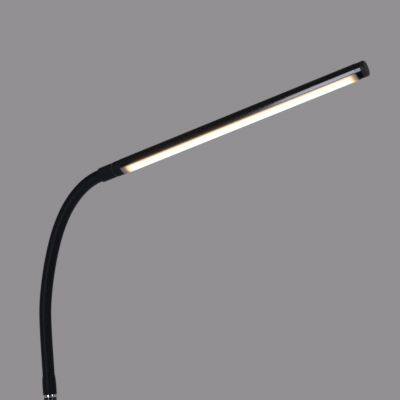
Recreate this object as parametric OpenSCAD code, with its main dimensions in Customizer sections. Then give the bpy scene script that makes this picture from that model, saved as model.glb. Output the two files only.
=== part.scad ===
// LED reading floor lamp: weighted base, two-piece pole, flexible neck and a round light bar.
// Millimetres, +Z up. The origin is the middle of the base pad, on the floor.
// The neck and head lie in the XZ plane, with the head reaching out along +X.

/* [Base] */
// Diameter of the base cover
base_d = 230; // [200:1:320]
// Height of the base cover's top above the floor
base_h = 25.5; // [24:0.5:40]
// Radius of the cover's rolled top edge
base_edge_r = 7; // [3:0.5:8]
// Sheet thickness of the base cover
cover_t = 1.2; // [0.8:0.1:2]
// Height of the cover's lower rim above the floor
cover_lift = 0.8; // [0.5:0.1:1.5]
// Thickness of the anti-slip pad under the base
pad_t = 2; // [1.5:0.5:4]
// Distance from the cover's wall to the pad's edge
pad_inset = 3; // [1:0.5:10]
// Thickness of the base weight
weight_t = 16; // [14:0.5:20]
// Distance from the cover's wall to the weight's edge
weight_gap = 8.8; // [6:0.2:30]
// Diameter of the raised boss on the weight that carries the cover
boss_d = 44; // [36:1:60]
// Length of the lamp driver's box
driver_l = 58; // [40:1:60]
// Width of the lamp driver's box
driver_w = 34; // [24:1:40]
// Height of the lamp driver's box
driver_h = 13; // [8:0.5:14]
// Width of the weight's rim outside the driver's well
driver_rim = 9; // [4:0.5:14]
// Bore of the cable inlet bush
inlet_bore_d = 6.4; // [5:0.1:8]
// Height of the cable inlet's axis
inlet_z = 9; // [8:0.5:12]

/* [Foot switch] */
// Distance from the cover's edge to the switch button's axis
switch_inset = 43; // [36:1:60]
// Diameter of the switch button
button_d = 26; // [18:0.5:30]
// Height of the button above the cover
button_rise = 4; // [3.5:0.5:6]
// Height of the switch body
switch_h = 11; // [9:0.5:12]
// Diameter of the switch body
switch_d = 27; // [22:0.5:30]
// Wire diameter of the return spring
spring_wire = 0.9; // [0.6:0.1:1.1]
// Number of turns of the return spring
spring_turns = 4; // [3:0.5:5]

/* [Pole] */
// Outside diameter of the pole
pole_d = 16; // [14:0.5:17]
// Wall of the pole tube
pole_wall = 1; // [0.8:0.1:1.5]
// Length of each of the two pole sections
section_l = 500; // [300:1:700]
// Length of the coupler that joins the sections
coupler_l = 40; // [20:1:80]
// Length of the plugs at the pole's two ends
plug_l = 26; // [22:1:60]
// Outside diameter of the bright rings at the pole's ends
ring_d = 17.2; // [16:0.1:24]
// Height of the bright rings
ring_h = 3.5; // [2:0.5:8]
// Diameter of the threaded nipple and stud
thread_d = 10; // [8:0.5:10]

/* [Neck] */
// Outside diameter of the neck's sleeve
sleeve_d = 15; // [13:0.5:16]
// Wall of the sleeve
sleeve_wall = 1.5; // [1:0.1:1.8]
// Outside diameter of the boot at the neck's foot
boot_d = 17.2; // [16.9:0.1:24]
// Length of the boot's straight part
boot_l = 10.5; // [8:0.5:30]
// Length of the boot's tapering shoulder
shoulder_l = 12; // [5:0.5:20]
// Length of the first link that the boot covers
boot_over = 2; // [0:0.5:6]
// Length of each neck link along its axis
link_l = 34.65; // [28:0.05:60]
// Bend of the second link, in degrees
bend_2 = 2; // [0:0.5:25]
// Bend of the third link
bend_3 = 9; // [0:0.5:25]
// Bend of the fourth link
bend_4 = 5; // [0:0.5:25]
// Bend of the fifth link
bend_5 = 6.5; // [0:0.5:25]
// Bend of the sixth link
bend_6 = 12; // [0:0.5:25]
// Bend of the seventh link
bend_7 = 18; // [0:0.5:25]
// Bend of the eighth link
bend_8 = 25; // [0:0.5:28]
// Diameter of the lead that runs inside the lamp
lead_d = 3.8; // [2.4:0.1:4]

/* [Head] */
// Outside diameter of the collar on the neck's upper end
collar_d = 18.2; // [17.4:0.1:24]
// Length of the collar
collar_l = 21; // [14:0.1:30]
// Gap between the collar and the head, filled by the swivel washer
swivel_gap = 0.6; // [0.4:0.1:2]
// Outside diameter of the light bar
head_d = 19.3; // [18.5:0.1:26]
// Depth by which the two caps lie below the bar's round
cap_inset = 0.3; // [0:0.1:1]
// Length of the cap at the neck's end
near_cap_l = 10.55; // [10.5:0.05:20]
// Length of the tube and diffuser between the caps
light_l = 316; // [200:1:500]
// Length of the cap at the free end
far_cap_l = 11.75; // [8:0.05:20]
// Edge radius of the free end's cap
far_cap_edge_r = 2; // [0.5:0.1:3]
// Wall of the aluminium tube
tube_wall = 1.1; // [0.8:0.1:1.4]
// Angle that the diffuser takes up on the tube's round
light_angle = 146; // [90:1:150]
// Thickness of the diffuser
diffuser_t = 1.3; // [1:0.1:1.6]
// Width of the light-diode board
board_w = 8; // [6:0.1:10]
// Thickness of the board
board_t = 1.2; // [0.8:0.1:1.6]
// Distance between light diodes
diode_pitch = 12; // [6:0.5:40]

/* [Hidden] */
NECK_LINKS = 8;
$fn = 72;

// Clearances
slip = 0.05;          // screwed and pushed-in fits
loose = 0.3;          // pieces that pass each other
free = 0.2;           // holes that a thread or a spindle goes through
through = 1;          // how far a cut runs past a face

// Colours
GLOSS_BLACK = [0.03, 0.03, 0.035];
SATIN_BLACK = [0.08, 0.08, 0.085];
RUBBER_BLACK = [0.06, 0.06, 0.07];
CHROME = [0.8, 0.82, 0.85];
STEEL = [0.55, 0.56, 0.58];
IRON = [0.25, 0.25, 0.26];
NYLON_GREY = [0.16, 0.16, 0.17];
OPAL = [0.98, 0.96, 0.9];
BOARD_WHITE = [0.9, 0.9, 0.88];
DIODE_YELLOW = [0.95, 0.8, 0.25];
LEAD_GREY = [0.35, 0.35, 0.36];

// Base stack
base_r = base_d / 2;
cover_inner_r = base_r - cover_t;
cover_under = base_h - cover_t;
weight_r = cover_inner_r - weight_gap;
weight_top = pad_t + weight_t;
thread_r = thread_d / 2;
nut_flats = 17;
nut_t = 5;
washer_t = 1.5;
washer_r = 13;
nut_well_gap = 1;
nut_well_r = washer_r + nut_well_gap;
nut_well_h = 11;
washer_z = pad_t + nut_well_h - washer_t;
nut_z = washer_z - nut_t;
nipple_z = nut_z;
nipple_bore_r = 3.2;
inlet_wall = 1.2;
inlet_r = inlet_bore_d / 2 + inlet_wall;
lead_r = lead_d / 2;
lead_bore_r = lead_r + loose;
lead_lift = 0.1;
lead_run_z = pad_t + lead_r + lead_lift;
lead_bend_r = 4;
pocket_gap = 2;
driver_x = weight_r - driver_rim - pocket_gap - driver_l;

// Foot switch stack
switch_x = base_r - switch_inset;
button_r = button_d / 2;
flange_t = 1.5;
flange_w = 2;
flange_r = button_r + flange_w;
flange_z = cover_under - loose - flange_t;
switch_top = pad_t + switch_h;
switch_well_r = max(flange_r, switch_d / 2) + 2 * loose;
stem_r = 4;
stem_hole_h = 7;
stem_reach = 1.5;
spring_room = 2.6;
spring_r = stem_r + spring_room;
switch_step = 1.5;

// Pole stack
pole_r = pole_d / 2;
pole_bore_r = pole_r - pole_wall;
pole_z = base_h + ring_h;
joint_z = pole_z + section_l;
pole_top = joint_z + section_l;
coupler_wall = 2.8;
plug_floor = 6;
plug_thread_l = plug_l - plug_floor;
thread_short = 2;

// Neck
sleeve_r = sleeve_d / 2;
sleeve_bore_r = sleeve_r - sleeve_wall;
ball_step = 0.1;
ball_gap = 0.25;
ball_r = sleeve_r - ball_step;
cup_r = ball_r + ball_gap;
lip_l = 5;
fitting_h = 14;
fitting_r = sleeve_r - slip;
boot_z = pole_top + ring_h;
neck_z = boot_z + boot_l + shoulder_l - boot_over;
sleeve_entry = neck_z - boot_z - fitting_h;
core_r = sleeve_bore_r - slip;
core_step = 2.2;
core_slim_r = sleeve_bore_r - core_step;
core_ball_r = core_slim_r - slip;
core_cup_gap = 0.2;
core_cup_r = core_ball_r + core_cup_gap;
core_end_l = 9;
neck_tail = 4;
bends = [0, bend_2, bend_3, bend_4, bend_5, bend_6, bend_7, bend_8];

// Head, measured along its axis from the neck's end
head_r = head_d / 2;
cap_r = head_r - cap_inset;
collar_r = collar_d / 2;
collar_gap = 0.25;
collar_bore_r = sleeve_r + collar_gap;
tail_gap = 0.5;
collar_bore_l = neck_tail + tail_gap;
collar_floor = 2.5;
spindle_r = 4;
spindle_z = collar_bore_l + collar_floor;
near_z = collar_l + swivel_gap;
cap_wall_l = 4.5;
spring_washer_t = 0.9;
swivel_nut_t = 3;
swivel_nut_flats = 11;
spindle_over = 0.4;
spring_washer_w = 2.2;
swivel_washer_inset = 0.8;
spindle_end = near_z + cap_wall_l + slip + spring_washer_t + swivel_nut_t + spindle_over;
tube_z = near_z + near_cap_l;
far_z = tube_z + light_l;
tube_bore_r = head_r - tube_wall;
half_light = light_angle / 2;
edge_gap_angle = 0.6;
hook_angle = 15;
hook_t = 1;
hook_gap = 0.15;
hook_r = tube_bore_r - hook_gap;
web_t = 1.4;
web_x = -0.8;
cap_step = 1;
cap_bore_r = tube_bore_r - cap_step;
spigot_r = tube_bore_r - free;
spigot_t = 1.2;
spigot_l = 8;
spigot_root = 2;
board_end_gap = 0.2;
diode_w = 2.8;
diode_l = 3.5;
diode_t = 0.8;
diode_end = 7;

// Direction of the neck after link k, in degrees from upright
function lean(k) = k < 1 ? 0 : lean(k - 1) + bends[k - 1];

// Bend radius of a link
function bend_radius(bend) = link_l * 180 / (PI * bend);

// Step from a link's start to its end, in the link's own frame: sideways, along
function link_step(bend) =
    bend < 0.01 ? [0, link_l] : bend_radius(bend) * [1 - cos(bend), sin(bend)];

// Place of the neck's axis after link k: x, z
function knot(k) =
    k < 1 ? [0, neck_z]
          : let (from = knot(k - 1), a = lean(k - 1), step = link_step(bends[k - 1]))
            from + [step[0] * cos(a) + step[1] * sin(a), step[1] * cos(a) - step[0] * sin(a)];

// Puts the children at the end of link k, with +Z along the neck
module at_knot(k) {
    place = knot(k);
    translate([place[0], 0, place[1]]) rotate([0, lean(k), 0]) children();
}

// Sweeps a flat outline along link k, from one distance along its axis to another
module along_link(k, from, to) {
    bend = bends[k - 1];
    at_knot(k - 1) {
        if (bend < 0.01) {
            translate([0, 0, from]) linear_extrude(to - from) children();
        } else {
            radius = bend_radius(bend);
            turn = bend / link_l;
            translate([radius, 0, 0]) rotate([90, 0, 180]) rotate([0, 0, turn * from])
                rotate_extrude(angle = turn * (to - from)) translate([radius, 0]) children();
        }
    }
}

// Tube standing on z
module pipe(z, h, r, bore) {
    difference() {
        translate([0, 0, z]) cylinder(h = h, r = r);
        translate([0, 0, z - through]) cylinder(h = h + 2 * through, r = bore);
    }
}

// Half outline of a disc with a rounded top edge, for revolving
module round_top(r, h, edge) {
    square([r, h - edge]);
    square([r - edge, h]);
    translate([r - edge, h - edge]) circle(edge);
}

// Flat ring between two radii
module ring_2d(outer, inner) {
    difference() {
        circle(outer);
        circle(inner);
    }
}

// Flat sector of a half angle about +X, reaching past a radius
module sector_2d(half_angle, r) {
    steps = 8;
    part = half_angle / steps;
    reach = 1.5 * r;
    polygon([[0, 0], for (i = [-steps:steps]) reach * [cos(i * part), sin(i * part)]]);
}

// Bright ring with eased edges, bored for the thread
module bright_ring(z) {
    edge = min(0.6, ring_h / 4);
    translate([0, 0, z]) rotate_extrude() difference() {
        union() {
            translate([0, edge]) square([ring_d / 2, ring_h - 2 * edge]);
            square([ring_d / 2 - edge, ring_h]);
            for (y = [edge, ring_h - edge]) translate([ring_d / 2 - edge, y]) circle(edge);
        }
        translate([-through, -through]) square([thread_r + free + through, ring_h + 2 * through]);
    }
}

// Pressed steel shell, open below, with holes for the nipple, the button and the inlet
module base_cover() {
    shell_h = base_h - cover_lift;
    edge_x = base_r - base_edge_r;
    edge_z = shell_h - base_edge_r;
    color(GLOSS_BLACK) difference() {
        translate([0, 0, cover_lift]) rotate_extrude() difference() {
            round_top(base_r, shell_h, base_edge_r);
            translate([-through, -through]) {
                square([cover_inner_r + through, edge_z + through]);
                square([edge_x + through, shell_h - cover_t + through]);
            }
            translate([edge_x, edge_z]) circle(base_edge_r - cover_t);
        }
        cylinder(h = base_h + through, r = thread_r + free);
        translate([switch_x, 0, cover_under - through])
            cylinder(h = cover_t + 2 * through, r = button_r + loose);
        translate([-base_r - through, 0, inlet_z]) rotate([0, 90, 0])
            cylinder(h = cover_t + weight_gap / 2, r = inlet_r + 2 * slip);
    }
}

// Cast disc with a boss under the cover, a nut well below, and wells for the driver and the switch
module base_weight() {
    driver_well = [driver_l + 2 * pocket_gap, driver_w + 2 * pocket_gap, weight_t + 2 * through];
    slot_w = lead_d + pocket_gap;
    color(IRON) difference() {
        union() {
            translate([0, 0, pad_t]) cylinder(h = weight_t, r = weight_r);
            translate([0, 0, weight_top - through])
                cylinder(h = cover_under - weight_top + through, r = boss_d / 2);
        }
        cylinder(h = base_h, r = thread_r + free);
        translate([0, 0, pad_t - through]) cylinder(h = nut_well_h + through, r = nut_well_r);
        translate([-driver_x - driver_l - pocket_gap, -driver_w / 2 - pocket_gap, pad_t - through])
            cube(driver_well);
        translate([-weight_r - through, -inlet_r, pad_t - through])
            cube([weight_r - driver_x - driver_l / 2, 2 * inlet_r, inlet_z + inlet_r - pad_t + through]);
        translate([-driver_x, -slot_w / 2, pad_t - through]) cube([driver_x, slot_w, slot_w + through]);
        translate([switch_x, 0, pad_t - through]) cylinder(h = weight_t + 2 * through, r = switch_well_r);
    }
}

// Foam disc that the lamp stands on
module base_pad() {
    color(RUBBER_BLACK) cylinder(h = pad_t, r = cover_inner_r - pad_inset);
}

// Closed plastic box with rounded corners and a lid line
module driver_box() {
    corner = 3;
    lid_t = 2;
    lid_step = 1;
    color(SATIN_BLACK) translate([-driver_x - driver_l / 2, 0, pad_t]) {
        linear_extrude(driver_h - lid_t) rounded_plate(driver_l, driver_w, corner);
        translate([0, 0, driver_h - lid_t]) linear_extrude(lid_t)
            rounded_plate(driver_l - 2 * lid_step, driver_w - 2 * lid_step, corner - lid_step);
    }
}

// Flat rectangle with round corners, centred
module rounded_plate(l, w, corner) {
    square([l - 2 * corner, w], center = true);
    square([l, w - 2 * corner], center = true);
    for (x = [-1, 1], y = [-1, 1]) translate([x * (l / 2 - corner), y * (w / 2 - corner)]) circle(corner);
}

// Bush that lines the hole where the supply lead goes in, gripping the cover's wall
module cable_gland() {
    lip_t = 1.5;
    lip_w = 2;
    flange = inlet_r + lip_w;
    inner_x = cover_inner_r - flange * flange / (2 * cover_inner_r) - 2 * slip;
    grip = base_r - inner_x;
    color(RUBBER_BLACK) translate([-base_r, 0, inlet_z]) rotate([0, 90, 0]) difference() {
        union() {
            translate([0, 0, -lip_t]) cylinder(h = lip_t, r = flange);
            translate([0, 0, -through]) cylinder(h = grip + 2 * through, r = inlet_r);
            translate([0, 0, grip]) cylinder(h = lip_t, r = flange);
        }
        translate([0, 0, -lip_t - through]) cylinder(h = grip + 3 * lip_t + 2 * through, d = inlet_bore_d);
    }
}

// Hollow threaded nipple that ties the pole to the base
module foot_nipple() {
    color(STEEL) pipe(nipple_z, pole_z + plug_thread_l - nipple_z - thread_short, thread_r, nipple_bore_r);
}

module foot_nut() {
    color(STEEL) difference() {
        translate([0, 0, nut_z]) cylinder(h = nut_t, d = nut_flats / cos(30), $fn = 6);
        translate([0, 0, nut_z - through]) cylinder(h = nut_t + 2 * through, r = thread_r + slip);
    }
}

module foot_washer() {
    color(STEEL) pipe(washer_z, washer_t, washer_r, thread_r + free);
}

// Plug in the foot of the pole, threaded for the nipple
module foot_plug() {
    color(STEEL) difference() {
        translate([0, 0, pole_z]) cylinder(h = plug_l, r = pole_bore_r - slip);
        translate([0, 0, pole_z - through]) cylinder(h = plug_thread_l + through, r = thread_r + slip);
        translate([0, 0, pole_z]) cylinder(h = plug_l + through, r = nipple_bore_r);
    }
}

module foot_ring() {
    color(CHROME) bright_ring(base_h);
}

// Round push switch, with a well for the button's stem
module switch_body() {
    color(SATIN_BLACK) translate([switch_x, 0, 0]) difference() {
        union() {
            translate([0, 0, pad_t]) cylinder(h = switch_h - switch_step, d = switch_d);
            translate([0, 0, pad_t]) cylinder(h = switch_h, d = switch_d - 2 * switch_step);
        }
        translate([0, 0, switch_top - stem_hole_h]) cylinder(h = stem_hole_h + through, r = stem_r + loose);
    }
}

// Coil spring that lifts the button, one tube swept along a helix
module switch_spring() {
    sides = 6;
    steps_per_turn = 16;
    steps = ceil(spring_turns * steps_per_turn);
    wire_r = spring_wire / 2;
    foot = switch_top + wire_r + slip;
    head = flange_z - wire_r - slip;
    rise = head - foot;
    turn = 360 * spring_turns / steps;
    points = [for (i = [0:steps], j = [0:sides - 1])
        let (a = i * turn, b = j * 360 / sides, r = spring_r + wire_r * cos(b))
        [r * cos(a), r * sin(a), foot + rise * i / steps + wire_r * sin(b)]];
    walls = [for (i = [0:steps - 1], j = [0:sides - 1])
        let (n = (j + 1) % sides, low = i * sides, high = low + sides)
        each [[low + j, high + j, high + n], [low + j, high + n, low + n]]];
    first = [for (j = [0:sides - 1]) j];
    last = [for (j = [sides - 1:-1:0]) steps * sides + j];
    color(STEEL) translate([switch_x, 0, 0]) polyhedron(points, concat(walls, [first, last]));
}

// Push button with a crowned top, a flange under the cover and a stem into the switch
module switch_button() {
    crown = 1;
    edge = 1.5;
    steps = 6;
    rim_z = base_h + button_rise - crown;
    stem_z = switch_top - stem_reach;
    crown_r = button_r - edge - 1;
    dome = [for (i = [1:steps]) let (t = i / steps) [crown_r * (1 - t), rim_z + crown * (2 * t - t * t)]];
    color(SATIN_BLACK) translate([switch_x, 0, 0]) rotate_extrude() {
        translate([0, flange_z]) square([flange_r, flange_t]);
        translate([0, flange_z]) square([button_r, rim_z - edge - flange_z]);
        translate([0, flange_z]) square([button_r - edge, rim_z - flange_z]);
        translate([button_r - edge, rim_z - edge]) circle(edge);
        translate([0, stem_z]) square([stem_r, flange_z + flange_t - stem_z]);
        polygon(concat([[0, rim_z - 0.5], [crown_r, rim_z - 0.5], [crown_r, rim_z]], dome));
    }
}

module pole_lower() {
    color(GLOSS_BLACK) pipe(pole_z, section_l, pole_r, pole_bore_r);
}

// Plug across the joint of the two pole sections
module pole_coupler() {
    color(STEEL) pipe(joint_z - coupler_l / 2, coupler_l, pole_bore_r - slip, pole_bore_r - coupler_wall);
}

module pole_upper() {
    color(GLOSS_BLACK) pipe(joint_z, section_l, pole_r, pole_bore_r);
}

// Plug in the top of the pole, threaded for the neck's stud
module top_plug() {
    color(STEEL) difference() {
        translate([0, 0, pole_top - plug_l]) cylinder(h = plug_l, r = pole_bore_r - slip);
        translate([0, 0, pole_top - plug_thread_l])
            cylinder(h = plug_thread_l + through, r = thread_r + slip);
        translate([0, 0, pole_top - plug_l - through]) cylinder(h = plug_l + through, r = nipple_bore_r);
    }
}

// Lead from the driver, round a bend under the nipple and up the pole to the neck
module pole_lead() {
    riser_z = lead_run_z + lead_bend_r;
    color(LEAD_GREY) {
        translate([-driver_x, 0, lead_run_z]) rotate([0, 90, 0])
            cylinder(h = driver_x - lead_bend_r, r = lead_r);
        translate([-lead_bend_r, 0, riser_z]) rotate([90, 0, 0]) rotate([0, 0, -90])
            rotate_extrude(angle = 90) translate([lead_bend_r, 0]) circle(lead_r);
        translate([0, 0, riser_z]) cylinder(h = boot_z + fitting_h - riser_z, r = lead_r);
    }
}

module neck_ring() {
    color(CHROME) bright_ring(pole_top);
}

// Turned end of the neck: a stud in the pole's plug and a body inside the boot
module neck_fitting() {
    stud_l = plug_thread_l - thread_short;
    color(STEEL) difference() {
        union() {
            translate([0, 0, pole_top - stud_l]) cylinder(h = stud_l + ring_h + through, r = thread_r);
            translate([0, 0, boot_z]) cylinder(h = fitting_h, r = fitting_r);
        }
        translate([0, 0, pole_top - stud_l - through]) cylinder(h = boot_z + fitting_h, r = lead_bore_r);
    }
}

// Boot that rounds in from the ring's width to the sleeve, by a quarter wave
module neck_boot() {
    steps = 12;
    lip = 0.4;
    mouth_r = sleeve_r + lip;
    boot_r = boot_d / 2;
    shoulder = [for (i = [0:steps]) let (t = i / steps)
        [mouth_r + (boot_r - mouth_r) * cos(90 * t), boot_l + shoulder_l * t]];
    bore = sleeve_r + slip;
    color(RUBBER_BLACK) translate([0, 0, boot_z]) rotate_extrude()
        polygon(concat([[bore, 0], [boot_r, 0]], shoulder, [[bore, boot_l + shoulder_l]]));
}

// Sleeve of link k: a ball end above, a cup below that turns on the ball of the link before it
module sleeve(k) {
    from = k == 1 ? -sleeve_entry : 0;
    to = link_l + (k == NECK_LINKS ? neck_tail : lip_l);
    color(RUBBER_BLACK) difference() {
        along_link(k, from, to) ring_2d(sleeve_r, sleeve_bore_r);
        if (k > 1) at_knot(k - 1) sphere(cup_r);
        if (k < NECK_LINKS) at_knot(k) difference() {
            cylinder(h = 2 * lip_l, r = 2 * sleeve_r);
            sphere(ball_r);
        }
    }
}

// Steel core of link k: a barrel that fills the sleeve, slim at the joints, with a ball and a cup
module core(k) {
    first = k == 1;
    last = k == NECK_LINKS;
    from = first ? -sleeve_entry : 0;
    to = last ? link_l + neck_tail : link_l;
    color(STEEL) difference() {
        union() {
            along_link(k, from, to) circle(core_slim_r);
            along_link(k, first ? from : core_end_l, last ? to : link_l - core_end_l) circle(core_r);
            if (!last) at_knot(k) sphere(core_ball_r);
        }
        along_link(k, from - through, to + 2 * core_ball_r) circle(lead_bore_r);
        if (!first) at_knot(k - 1) sphere(core_cup_r);
    }
}

// Stretch of the inner lead in link k, from above the core's ball below to inside the ball above
module lead(k) {
    tip = sqrt(core_ball_r * core_ball_r - lead_r * lead_r) - 2 * loose;
    from = k == 1 ? -sleeve_entry : core_ball_r + loose;
    to = link_l + (k == NECK_LINKS ? neck_tail : tip);
    color(LEAD_GREY) along_link(k, from, to) circle(lead_r);
}

// Collar that grips the neck's upper end and holds the swivel spindle
module collar() {
    edge = 1.2;
    color(SATIN_BLACK) at_knot(NECK_LINKS) difference() {
        rotate_extrude() {
            translate([0, edge]) square([collar_r, collar_l - 1.4 * edge]);
            square([collar_r - edge, collar_l]);
            translate([collar_r - edge, edge]) circle(edge);
            translate([0, collar_l - 0.4 * edge]) square([collar_r - 0.4 * edge, 0.4 * edge]);
        }
        translate([0, 0, -through]) cylinder(h = collar_bore_l + through, r = collar_bore_r);
        translate([0, 0, collar_bore_l - through]) cylinder(h = collar_l, r = lead_bore_r);
        translate([0, 0, spindle_z]) cylinder(h = collar_l, r = spindle_r + slip);
    }
}

// Hollow spindle that the head turns on
module swivel_spindle() {
    color(STEEL) at_knot(NECK_LINKS) pipe(spindle_z, spindle_end - spindle_z, spindle_r, lead_bore_r);
}

module swivel_washer() {
    color(NYLON_GREY) at_knot(NECK_LINKS)
        pipe(collar_l, swivel_gap - slip, collar_r - swivel_washer_inset, spindle_r + free);
}

module spring_washer() {
    color(STEEL) at_knot(NECK_LINKS)
        pipe(near_z + cap_wall_l + slip, spring_washer_t, spindle_r + spring_washer_w, spindle_r + free);
}

module swivel_nut() {
    nut_from = near_z + cap_wall_l + slip + spring_washer_t;
    color(STEEL) at_knot(NECK_LINKS) difference() {
        translate([0, 0, nut_from]) cylinder(h = swivel_nut_t, d = swivel_nut_flats / cos(30), $fn = 6);
        translate([0, 0, nut_from - through])
            cylinder(h = swivel_nut_t + 2 * through, r = spindle_r + slip);
    }
}

// Lead through the spindle to the end of the board
module head_lead() {
    color(LEAD_GREY) at_knot(NECK_LINKS) translate([0, 0, collar_bore_l])
        cylinder(h = tube_z - collar_bore_l - slip, r = lead_r);
}

// Shallow tongue of a cap inside the tube, above the web
module cap_spigot(from, to) {
    translate([0, 0, from]) linear_extrude(to - from) difference() {
        ring_2d(spigot_r, spigot_r - spigot_t);
        translate([web_x - web_t - loose, -head_r]) square(head_d);
    }
}

// Cap at the neck's end, turning on the spindle
module near_cap() {
    edge = 0.5;
    color(SATIN_BLACK) at_knot(NECK_LINKS) {
        difference() {
            translate([0, 0, near_z]) rotate_extrude() {
                translate([0, edge]) square([cap_r, near_cap_l - edge]);
                square([cap_r - edge, near_cap_l]);
                translate([cap_r - edge, edge]) circle(edge);
            }
            translate([0, 0, near_z - through]) cylinder(h = near_cap_l, r = spindle_r + 1.2 * slip);
            translate([0, 0, near_z + cap_wall_l]) cylinder(h = near_cap_l, r = cap_bore_r);
        }
        cap_spigot(tube_z - spigot_root, tube_z + spigot_l);
    }
}

// Aluminium extrusion, open below, with a web for the board and ribs for the diffuser's hooks
module head_tube() {
    color(SATIN_BLACK) at_knot(NECK_LINKS) translate([0, 0, tube_z]) linear_extrude(light_l) {
        difference() {
            ring_2d(head_r, tube_bore_r);
            sector_2d(half_light, head_r);
        }
        intersection() {
            circle(head_r - tube_wall / 2);
            translate([web_x - web_t, -head_r]) square([web_t, head_d]);
        }
    }
}

// Opal strip that completes the tube's round, with hooks tucked behind the tube's edges
module diffuser() {
    color(OPAL) at_knot(NECK_LINKS) translate([0, 0, tube_z]) linear_extrude(light_l) {
        intersection() {
            ring_2d(head_r, head_r - diffuser_t);
            sector_2d(half_light - edge_gap_angle, head_r);
        }
        intersection() {
            ring_2d(hook_r, hook_r - hook_t);
            difference() {
                sector_2d(half_light + hook_angle, head_r);
                sector_2d(half_light - hook_angle, head_r);
            }
        }
    }
}

// Board under the web
module led_board() {
    color(BOARD_WHITE) at_knot(NECK_LINKS) translate([web_x, -board_w / 2, tube_z + board_end_gap])
        cube([board_t, board_w, light_l - 2 * board_end_gap]);
}

// Row of light diodes on the board
module led_chips() {
    run = light_l - 2 * diode_end;
    gaps = floor(run / diode_pitch);
    start = tube_z + (light_l - gaps * diode_pitch) / 2;
    color(DIODE_YELLOW) at_knot(NECK_LINKS) for (i = [0:gaps])
        translate([web_x + board_t, -diode_w / 2, start + i * diode_pitch - diode_l / 2])
            cube([diode_t, diode_w, diode_l]);
}

// Cap at the free end, with a rounded rim
module far_cap() {
    edge = far_cap_edge_r;
    color(SATIN_BLACK) at_knot(NECK_LINKS) {
        difference() {
            translate([0, 0, far_z]) rotate_extrude() round_top(cap_r, far_cap_l, edge);
            translate([0, 0, far_z - through]) cylinder(h = far_cap_l / 2 + through, r = cap_bore_r);
        }
        cap_spigot(far_z - spigot_l, far_z + spigot_root);
    }
}

base_cover();
base_weight();
base_pad();
driver_box();
cable_gland();
foot_nipple();
foot_nut();
foot_washer();
foot_plug();
foot_ring();
switch_body();
switch_spring();
switch_button();
pole_lower();
pole_coupler();
pole_upper();
top_plug();
pole_lead();
neck_ring();
neck_fitting();
neck_boot();
collar();
swivel_spindle();
swivel_washer();
spring_washer();
swivel_nut();
head_lead();
near_cap();
head_tube();
diffuser();
led_board();
led_chips();
far_cap();
for (k = [1:NECK_LINKS]) {
    sleeve(k);
    core(k);
    lead(k);
}
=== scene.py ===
import math

import bmesh
import bpy
from bpy.props import FloatProperty, FloatVectorProperty, IntProperty, PointerProperty
from mathutils import Matrix, Vector


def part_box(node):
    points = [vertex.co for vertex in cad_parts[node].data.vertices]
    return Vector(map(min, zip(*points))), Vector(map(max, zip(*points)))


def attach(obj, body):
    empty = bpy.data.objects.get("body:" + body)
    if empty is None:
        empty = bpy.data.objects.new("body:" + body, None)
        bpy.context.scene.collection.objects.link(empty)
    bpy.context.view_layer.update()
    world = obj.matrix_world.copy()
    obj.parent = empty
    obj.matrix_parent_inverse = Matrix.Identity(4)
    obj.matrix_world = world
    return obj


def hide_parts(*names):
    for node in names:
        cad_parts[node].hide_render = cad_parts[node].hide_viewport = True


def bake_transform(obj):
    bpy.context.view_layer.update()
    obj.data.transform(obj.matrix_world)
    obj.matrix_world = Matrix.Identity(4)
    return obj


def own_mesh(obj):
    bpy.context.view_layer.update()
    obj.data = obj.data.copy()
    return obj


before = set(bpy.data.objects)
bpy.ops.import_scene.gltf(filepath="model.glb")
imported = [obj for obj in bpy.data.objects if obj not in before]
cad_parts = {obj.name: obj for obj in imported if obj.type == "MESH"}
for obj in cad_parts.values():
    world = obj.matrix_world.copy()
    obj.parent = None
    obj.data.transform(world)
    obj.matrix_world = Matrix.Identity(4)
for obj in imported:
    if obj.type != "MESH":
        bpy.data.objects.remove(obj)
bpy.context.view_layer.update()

bl_info = {
    "name": "Reading floor lamp",
    "version": (1, 0, 0),
    "blender": (4, 5, 0),
    "location": "3D View > Sidebar > Lamp",
    "description": "Dresses the frame of a reading floor lamp and sets its studio",
    "category": "Object",
}

MM = 0.001

# The neck's route, as in the part's source: where it starts, the length of a link, and each link's
# bend in degrees
NECK_START_Z = 1053 * MM
LINK_L = 34.65 * MM
LINK_BENDS = (0, 2, 9, 5, 6.5, 12, 18, 25)
NECK_L = LINK_L * len(LINK_BENDS)

# The neck's sleeve: its length inside the boot and inside the collar, how far a joint's bend goes
# each way along it, and its steps around
SLEEVE_ENTRY = 7 * MM
SLEEVE_TAIL = 3.5 * MM
SLEEVE_AROUND = 64

# The boot: its straight foot, its wall at the mouth, its clearance round the sleeve, its lower edge
# as points of (inset, rise), and the steps of its rounding
BOOT_STRAIGHT = 10.5 * MM
BOOT_LIP = 0.4 * MM
BOOT_FREE = 0.05 * MM
BOOT_EDGE = ((0.4 * MM, 0.0), (0.1 * MM, 0.1 * MM), (0.0, 0.4 * MM))
BOOT_STEPS = 20

# The two bright rings
RING_BORE = 5.2 * MM
RING_EDGE = 0.7 * MM

# The head, measured along its axis from the neck's end, and half the angle of the lit strip
COLLAR_L = 21 * MM
CAP_START = 21.6 * MM
TUBE_START = 32.15 * MM
TUBE_END = 348.15 * MM
CAP_BAND_END = 354.9 * MM
HEAD_END = 359.2 * MM
HALF_LIGHT = math.radians(73)

# The collar: the sleeve's socket, the web with the lead's hole, the spindle's seat and its edges
SOCKET_DEPTH = 4.6 * MM
SOCKET_FREE = 0.1 * MM
WEB_TOP = 7 * MM
LEAD_HOLE = 2.2 * MM
SPINDLE_SEAT = 4.05 * MM
COLLAR_MOUTH_EDGE = 0.25 * MM
COLLAR_FOOT_EDGE = 1.2 * MM
COLLAR_TOP_EDGE = 0.12 * MM

# The groove beside the collar, eased into both neighbours, and the washer that shows in it
GROOVE_EASE = 0.2 * MM
WASHER_BORE = 4.2 * MM
WASHER_FREE = 0.05 * MM

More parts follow.
